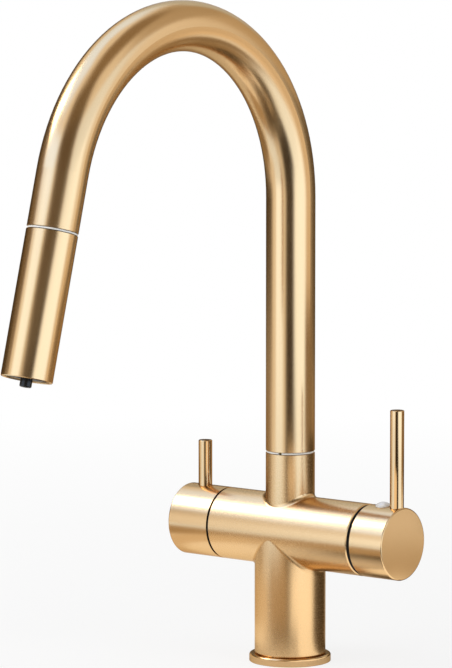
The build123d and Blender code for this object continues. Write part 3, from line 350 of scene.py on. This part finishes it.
# Each material with the nodes that have it: the first number is its roughness, a gold's second its line depth
SURFACES = {
    gold("satin gold casting", grain_even, 0.27, 0.02, uneven=0.015): ["body_casting"],
    gold("turned gold flange", grain_round_z, 0.18, 0.02, uneven=0.015): ["base_flange"],
    gold("brushed gold spout", grain_spout, 0.225, 0.03): ["spout_tube"],
    gold("brushed gold head", grain_head, 0.2, 0.03): ["head_shell"],
    gold("brushed gold drums", grain_round_x, 0.23, 0.02): ["mixer_drum", "filter_drum"],
    gold("polished gold levers", grain_round_z, 0.1, 0.004, spread=0.012, uneven=0.01): [
        "mixer_lever", "filter_lever",
    ],
    moulded("white nylon rings", (0.84, 0.83, 0.79), 0.4): ["spout_slip_ring", "dock_collar"],
    moulded("white index plug", (0.8, 0.8, 0.79), 0.14): ["index_plug"],
    moulded("black nozzle", (0.016, 0.015, 0.014), 0.2, specular=0.3): ["filter_nozzle"],
    # The cover rings are real black acetal parts, and their black is also painted shade for the dark lines in
    # the gaps round the drums
    moulded("black acetal rings and painted gap shade", (0.012, 0.011, 0.01), 0.5, specular=0.15): [
        "mixer_cover_ring", "filter_cover_ring",
    ],
    moulded("black rubber", (0.022, 0.022, 0.022), 0.7): [
        "base_gasket", "spout_o_rings", "dock_o_ring", "hose_seal", "aerator_seal",
        "cartridge_gasket", "filter_seat_seal", "spindle_o_ring",
    ],
    moulded("grey plastic", (0.2, 0.205, 0.21), 0.45): [
        "swivel_bush", "head_core", "aerator_housing", "aerator_insert",
        "cartridge_housing", "cartridge_cap", "cartridge_driver", "disc_carrier",
    ],
    moulded("natural tube", (0.74, 0.75, 0.74), 0.35): ["hose_filter_tube", "head_filter_tube"],
    moulded("lapped ceramic", (0.82, 0.82, 0.79), 0.2): [
        "fixed_ceramic_disc", "moving_ceramic_disc", "filter_fixed_disc", "filter_moving_disc",
    ],
    plain_metal("raw brass on Z", RAW_BRASS, 0.28, grain_round_z): [
        "inlet_manifold", "spout_spigot", "hose_tail",
    ],
    plain_metal("raw brass on X", RAW_BRASS, 0.28, grain_round_x): [
        "cartridge_nut", "filter_headwork", "filter_spindle",
    ],
    plain_metal("raw brass hose end", RAW_BRASS, 0.24, grain_head): ["hose_ferrule", "hose_swivel_nut"],
    plain_metal("drawn copper", COPPER, 0.3, grain_z): [
        "hot_feed_pipe", "cold_feed_pipe", "mixed_return_pipe", "filter_feed_pipe", "filter_return_pipe",
    ],
    plain_metal("stainless steel", STEEL, 0.25, grain_even): [
        "neck_grub_screw", "mixer_grub_screw", "filter_grub_screw", "pivot_pin", "spindle_clip",
        "mixer_stem", "aerator_screen",
    ],
}

for surface, names in SURFACES.items():
    for node_name in names:
        slots = NODES[node_name].data.materials
        slots.clear()
        slots.append(surface)


# Pull-out hose

UPRIGHT_L = ARCH_Z - HOSE_FOOT
ARCH_L = ARCH_R * ARCH_TURN


def hose_point(distance):
    """The point and direction of the hose's centre line at a distance from its foot."""
    if distance <= UPRIGHT_L:
        return Vector((0, 0, HOSE_FOOT + distance)), Vector((0, 0, 1))
    if distance <= UPRIGHT_L + ARCH_L:
        turn = (distance - UPRIGHT_L) / ARCH_R
        out = Vector((0, cos(turn), sin(turn)))
        return ARCH_CENTRE + out * ARCH_R, Vector((0, -sin(turn), cos(turn)))
    return ARCH_END + SPOUT_WAY * (distance - UPRIGHT_L - ARCH_L), SPOUT_WAY


def seam_distance(along):
    """The distance from the hose's foot of a place measured along the head's axis from the seam."""
    return UPRIGHT_L + ARCH_L + SPOUT_END + along


STRETCH_A = seam_distance(HOSE_STRETCH_START)
STRETCH_B = seam_distance(HOSE_STRETCH_END)


def pulled(distance):
    """How far along the hose a place lies when the head is pulled right out."""
    t = min(max((distance - STRETCH_A) / (STRETCH_B - STRETCH_A), 0.0), 1.0)
    return distance + HOSE_TRAVEL * t * t * (3 - 2 * t)


def unpulled(target, low, high):
    """The place on the hose at rest that lies at a distance when the head is pulled right out."""
    for _ in range(HALVINGS):
        middle = (low + high) / 2
        if pulled(middle) < target:
            low = middle
        else:
            high = middle
    return (low + high) / 2


def braid_height(around, distance):
    """Height of a two-way braid, from 0 between the strands to 1 on a crown."""
    right = BRAID_STRANDS * around + tau * distance / BRAID_PITCH
    left = BRAID_STRANDS * around - tau * distance / BRAID_PITCH
    over = cos(right / 2) * cos(left / 2)
    right_ridge = (0.5 + 0.5 * cos(right)) * (1 - BRAID_OVER + BRAID_OVER * over)
    left_ridge = (0.5 + 0.5 * cos(left)) * (1 - BRAID_OVER - BRAID_OVER * over)
    return max(right_ridge, left_ridge)


def hose_mesh(name, places, sides):
    """A tube through places on the hose's line, with the braid's relief."""
    vertices = []
    heights = []
    faces = []
    for place in places:
        centre, way = hose_point(place)
        across = Vector((1, 0, 0))
        out = way.cross(across)
        for k in range(sides):
            around = tau * k / sides
            height = braid_height(around, pulled(place))
            radius = HOSE_R - BRAID_RELIEF * (1 - height)
            vertices.append(centre + (across * cos(around) + out * sin(around)) * radius)
            heights.append(height)
    for ring in range(len(places) - 1):
        for k in range(sides):
            low = ring * sides
            high = low + sides
            turn = (k + 1) % sides
            faces.append((low + k, low + turn, high + turn, high + k))
    faces.append(tuple(reversed(range(sides))))
    faces.append(tuple(range(len(vertices) - sides, len(vertices))))
    mesh = bpy.data.meshes.new(name)
    mesh.from_pydata(vertices, [], faces)
    mesh.update()
    mesh.attributes.new("relief", "FLOAT", "POINT").data.foreach_set("value", heights)
    mesh.shade_smooth()
    return placed(name, mesh)


def spaced(low, high, step):
    """Evenly spaced places from low to high."""
    count = ceil((high - low) / step)
    return [low + (high - low) * i / count for i in range(count + 1)]


hose_split = UPRIGHT_L + ARCH_R * HOSE_SPLIT_TURN
hose_stop = seam_distance(HOSE_END)
standing_places = spaced(0.0, hose_split, PLAIN_STEP)
standing_hose = hose_mesh("hose_braid_standing", standing_places, PLAIN_SIDES)
pulled_places = spaced(pulled(hose_split), pulled(hose_stop), BRAID_STEP)
running_places = [unpulled(target, hose_split, hose_stop) for target in pulled_places]
running_hose = hose_mesh("hose_braid_running", running_places, BRAID_SIDES)
braid_surface = braid("grey braid")
for piece in (standing_hose, running_hose):
    piece.data.materials.append(braid_surface)
    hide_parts("pullout_hose")
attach(standing_hose, "spout")
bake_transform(running_hose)


# Camera

def look_from(azimuth, elevation):
    """The directions back to the camera and to the picture's right."""
    a = radians(azimuth)
    e = radians(elevation)
    back = Vector((sin(a) * cos(e), -cos(a) * cos(e), sin(e)))
    right = Vector((cos(a), sin(a), 0))
    return back, right


back, right = look_from(CAMERA_AZIMUTH, CAMERA_ELEVATION)
camera_data = bpy.data.cameras.new("camera")
camera_data.sensor_width = SENSOR
camera_data.lens = CAMERA_FOCAL_PX * SENSOR / max(PICTURE_W, PICTURE_H)
camera_data.clip_start = CLIP_NEAR
camera_data.clip_end = CLIP_FAR
camera = placed("camera", camera_data)
camera.location = right * CAMERA_SIDE + Vector((0, 0, CAMERA_HEIGHT)) + back * CAMERA_DISTANCE
camera.rotation_mode = "QUATERNION"
camera.rotation_quaternion = (-back).to_track_quat("-Z", "Y")
bpy.context.scene.camera = camera


# Studio: floor, white surroundings, soft boxes and the cards that reflections show

FLOOR_R = 6.0
FLOOR_SIDES = 96
FLOOR_COLOR = (0.86, 0.86, 0.86)
FLOOR_NEAR = 0.2
FLOOR_FAR = 1.1
FLOOR_WHITE_NEAR = 0.8
FLOOR_WHITE_MIRRORED = 0.3
FLOOR_WHITE_MIRRORED_FAR = 0.95
WORLD_FILL = 0.5
WHITE = (1.0, 1.0, 1.0, 1.0)
AIM = Vector((0, -0.08, 0.2))
BROWN = (1.0, 0.76, 0.48)
UMBER = (1.0, 0.88, 0.72)
COOL = (0.82, 1.0, 1.3)
COLD = (0.72, 1.0, 1.65)
PLAIN = (1.0, 1.0, 1.0)
PALE = (0.97, 1.01, 1.08)
CARD_STEPS = 24
CARD_FEATHER = 0.22
CARD_LIFT = 0.0004
SKY_CENTRE = 0.33


def mirrored_rays(tree):
    """1 for rays that metal or glass sends on."""
    path = add(tree, "ShaderNodeLightPath")
    return calc(tree, "MAXIMUM", path.outputs["Is Glossy Ray"], path.outputs["Is Transmission Ray"])


def camera_rays(tree):
    return add(tree, "ShaderNodeLightPath").outputs["Is Camera Ray"]


def disc(name, radius, sides):
    mesh = bpy.data.meshes.new(name)
    rim = [(radius * cos(tau * k / sides), radius * sin(tau * k / sides), 0) for k in range(sides)]
    mesh.from_pydata(rim, [], [tuple(range(sides))])
    return placed(name, mesh)


def floor_material():
    """Pale floor that takes the tap's shadow near it and fades into the white round it."""
    material, tree, shader = new_material("pale floor")
    tree.nodes.remove(shader)
    matt = add(tree, "ShaderNodeBsdfDiffuse", {"Color": (*FLOOR_COLOR, 1)})
    white = add(tree, "ShaderNodeEmission", {"Color": WHITE, "Strength": 1.0})
    point = object_point(tree)
    away = length(tree, dot(tree, point, (1, 0, 0)), dot(tree, point, (0, 1, 0)))
    near_share = ranged(tree, away, FLOOR_WHITE_NEAR, 1.0, FLOOR_NEAR, FLOOR_FAR)
    direct = calc(tree, "MULTIPLY", camera_rays(tree), near_share)
    far_share = ranged(
        tree, away, FLOOR_WHITE_MIRRORED, FLOOR_WHITE_MIRRORED_FAR, FLOOR_NEAR, FLOOR_FAR
    )
    mirrored = calc(tree, "MULTIPLY", mirrored_rays(tree), far_share)
    mixed_surface(tree, "Material Output", calc(tree, "ADD", direct, mirrored), matt, white)
    return material


def white_world():
    """White where the camera or a reflection sees it, and a plain fill of light elsewhere."""
    world = bpy.data.worlds.new("white studio")
    world.use_nodes = True
    tree = world.node_tree
    fill = tree.nodes["Background"]
    fill.inputs["Color"].default_value = WHITE
    fill.inputs["Strength"].default_value = WORLD_FILL
    white = add(tree, "ShaderNodeBackground", {"Color": WHITE, "Strength": 1.0})
    seen = calc(tree, "MAXIMUM", camera_rays(tree), mirrored_rays(tree))
    mixed_surface(tree, "World Output", seen, fill, white)
    bpy.context.scene.world = world


def soft_box(name, azimuth, distance, height, wide, tall, brightness, mirrored):
    """A rectangular soft box whose face shows at the brightness given, where white is 1."""
    data = bpy.data.lights.new(name, "AREA")
    data.shape = "RECTANGLE"
    data.size = wide
    data.size_y = tall
    data.energy = brightness * pi * wide * tall
    lamp = placed(name, data)
    lamp.location = toward(azimuth, distance, height)
    lamp.rotation_mode = "QUATERNION"
    lamp.rotation_quaternion = (AIM - lamp.location).to_track_quat("-Z", "Y")
    lamp.visible_glossy = mirrored


def feather(share):
    """How much of a card covers at a share of the way across it: nothing at its edges."""
    t = min(min(share, 1 - share) / CARD_FEATHER, 1.0)
    return t * t * (3 - 2 * t)


def card(name, place, color, brightness):
    """A card with soft edges that only reflections show, as a studio sets round polished metal."""
    shares = [i / CARD_STEPS for i in range(CARD_STEPS + 1)]
    row = CARD_STEPS + 1
    vertices = [place(u, v) for u in shares for v in shares]
    cover = [feather(u) * feather(v) for u in shares for v in shares]
    corners = [i * row + j for i in range(CARD_STEPS) for j in range(CARD_STEPS)]
    mesh = bpy.data.meshes.new(name)
    mesh.from_pydata(vertices, [], [(k, k + row, k + row + 1, k + 1) for k in corners])
    mesh.attributes.new("cover", "FLOAT", "POINT").data.foreach_set("value", cover)
    material, tree, shader = new_material(name)
    tree.nodes.remove(shader)
    share = add(tree, "ShaderNodeAttribute", attribute_name="cover").outputs["Fac"]
    clear = add(tree, "ShaderNodeBsdfTransparent")
    glow = add(tree, "ShaderNodeEmission", {"Color": (*color, 1), "Strength": brightness})
    mixed_surface(tree, "Material Output", share, clear, glow)
    mesh.materials.append(material)
    made = placed(name, mesh)
    made.visible_camera = False
    made.visible_diffuse = False
    made.visible_shadow = False
    made.visible_transmission = False


def between(first, last, share):
    return first + (last - first) * share


def standing_card(name, first, last, distance, low, high, color, brightness):
    """A curved card round the tap between two azimuths and two heights."""
    def place(u, v):
        return toward(between(first, last, u), distance, between(low, high, v))
    card(name, place, color, brightness)


def lying_card(name, first, last, near, far, lift, color, brightness):
    """A card just over the floor between two azimuths and two distances."""
    def place(u, v):
        return toward(between(first, last, u), between(near, far, v), lift)
    card(name, place, color, brightness)


def sky_card(name, first, last, distance, low, high, color, brightness):
    """A card overhead between two azimuths and two elevations."""
    def place(u, v):
        elevation = radians(between(low, high, v))
        height = SKY_CENTRE + distance * sin(elevation)
        return toward(between(first, last, u), distance * cos(elevation), height)
    card(name, place, color, brightness)


floor = disc("floor", FLOOR_R, FLOOR_SIDES)
floor.data.materials.append(floor_material())
white_world()

# Soft boxes: azimuth, distance, height, how wide and tall, brightness, whether reflections show them
SOFT_BOXES = {
    "key soft box": (-62, 0.95, 0.97, 0.5, 0.4, 6.0, True),
    "left soft box": (-20, 1.3, 0.7, 0.8, 1.1, 2.0, False),
    "right soft box": (88, 1.2, 0.6, 0.8, 1.0, 1.6, False),
}
# Standing cards: first and last azimuth, distance, lower and upper edge, colour, brightness
STANDING_CARDS = {
    "left card": (-40, 8, 1.1, -0.06, 0.36, COOL, 1.8),
    "middle left card": (-34, 8, 1.12, 0.24, 0.7, COOL, 1.75),
    "upper left card": (-58, 8, 1.14, 0.56, 1.12, COLD, 1.7),
    "right card": (46, 120, 1.0, -0.08, 0.52, COOL, 1.8),
    "upper right card": (54, 126, 1.02, 0.36, 0.95, COOL, 1.3),
    "front flag": (11, 60, 1.05, -0.3, 0.6, BROWN, 0.06),
    "upper front flag": (2, 68, 1.07, 0.4, 1.2, BROWN, 0.15),
    "right side flag": (103, 154, 1.2, -0.12, 0.28, UMBER, 0.85),
    "back flag": (134, 250, 1.3, -0.08, 0.48, UMBER, 0.16),
    "left side flag": (218, 313, 1.2, -0.1, 1.0, BROWN, 0.1),
    "upper left flag": (-88, -40, 1.18, 0.33, 0.68, BROWN, 0.22),
    "low left card": (-125, -22, 0.12, -0.015, 0.045, UMBER, 0.9),
    "low front flag": (-32, 36, 0.122, -0.015, 0.06, BROWN, 0.54),
    "low right card": (26, 122, 0.118, -0.015, 0.06, PLAIN, 1.45),
    "low back flag": (106, 185, 0.116, -0.015, 0.06, BROWN, 0.08),
    "neck front card": (20, 66, 0.15, 0.075, 0.114, UMBER, 1.2),
    "end face flag": (110, 148, 0.3, -0.02, 0.05, UMBER, 0.62),
    "neck side flag": (112, 178, 0.12, 0.074, 0.13, BROWN, 0.1),
    "right edge flag": (101, 162, 0.25, 0.07, 0.21, BROWN, 0.3),
}
# Lying cards: first and last azimuth, near and far edge, lift in steps, colour, brightness
LYING_CARDS = {
    "left floor card": (-42, 8, 0.45, 1.3, 1, COOL, 1.3),
    "right floor card": (54, 118, 0.2, 1.4, 1, COOL, 1.5),
    "end face card": (108, 156, 0.34, 1.0, 2, PALE, 1.08),
    "back floor flag": (144, 308, 0.45, 1.4, 1, BROWN, 0.4),
    "far left floor flag": (-88, -24, 0.12, 0.4, 2, BROWN, 0.5),
    "left near card": (-150, -28, 0.04, 0.185, 9, PLAIN, 1.2),
    "front floor flag": (8, 70, 0.1, 1.6, 4, BROWN, 0.04),
    "left floor flag": (-36, 18, 0.12, 0.36, 5, BROWN, 0.3),
    "near front floor flag": (-34, 116, 0.045, 0.32, 6, BROWN, 0.1),
    "far right floor flag": (100, 192, 0.03, 0.46, 7, BROWN, 0.36),
    "far back floor flag": (146, 184, 0.35, 1.2, 6, BROWN, 0.42),
    "right back floor flag": (104, 156, 0.7, 1.3, 8, UMBER, 1.0),
    "left middle floor card": (-62, -6, 0.32, 0.62, 3, COOL, 1.3),
    "left edge floor flag": (-100, -58, 0.46, 0.9, 5, BROWN, 0.3),
    "right foot floor flag": (104, 176, 0.0, 0.2, 10, BROWN, 0.12),
    "right foot floor card": (52, 112, 0.0, 0.16, 11, PLAIN, 1.3),
}
# Cards overhead: first and last azimuth, distance, lower and upper elevation, colour, brightness
SKY_CARDS = {
    "high left card": (-168, -4, 1.7, 36, 76, COLD, 1.5),
    "overhead flag": (-8, 212, 1.68, 46, 92, BROWN, 0.32),
    "high front flag": (-4, 76, 1.66, 18, 62, BROWN, 0.22),
    "high back flag": (100, 215, 1.66, 22, 60, UMBER, 0.58),
    "back upper flag": (136, 222, 1.64, 0, 30, UMBER, 0.68),
    "crown edge card": (184, 236, 1.62, 10, 48, COOL, 0.95),
}
for name, sizes in SOFT_BOXES.items():
    soft_box(name, *sizes)
for name, sizes in STANDING_CARDS.items():
    standing_card(name, *sizes)
for name, (first, last, near, far, steps, color, brightness) in LYING_CARDS.items():
    lying_card(name, first, last, near, far, steps * CARD_LIFT, color, brightness)
for name, sizes in SKY_CARDS.items():
    sky_card(name, *sizes)

bpy.context.scene.view_settings.view_transform = "Standard"
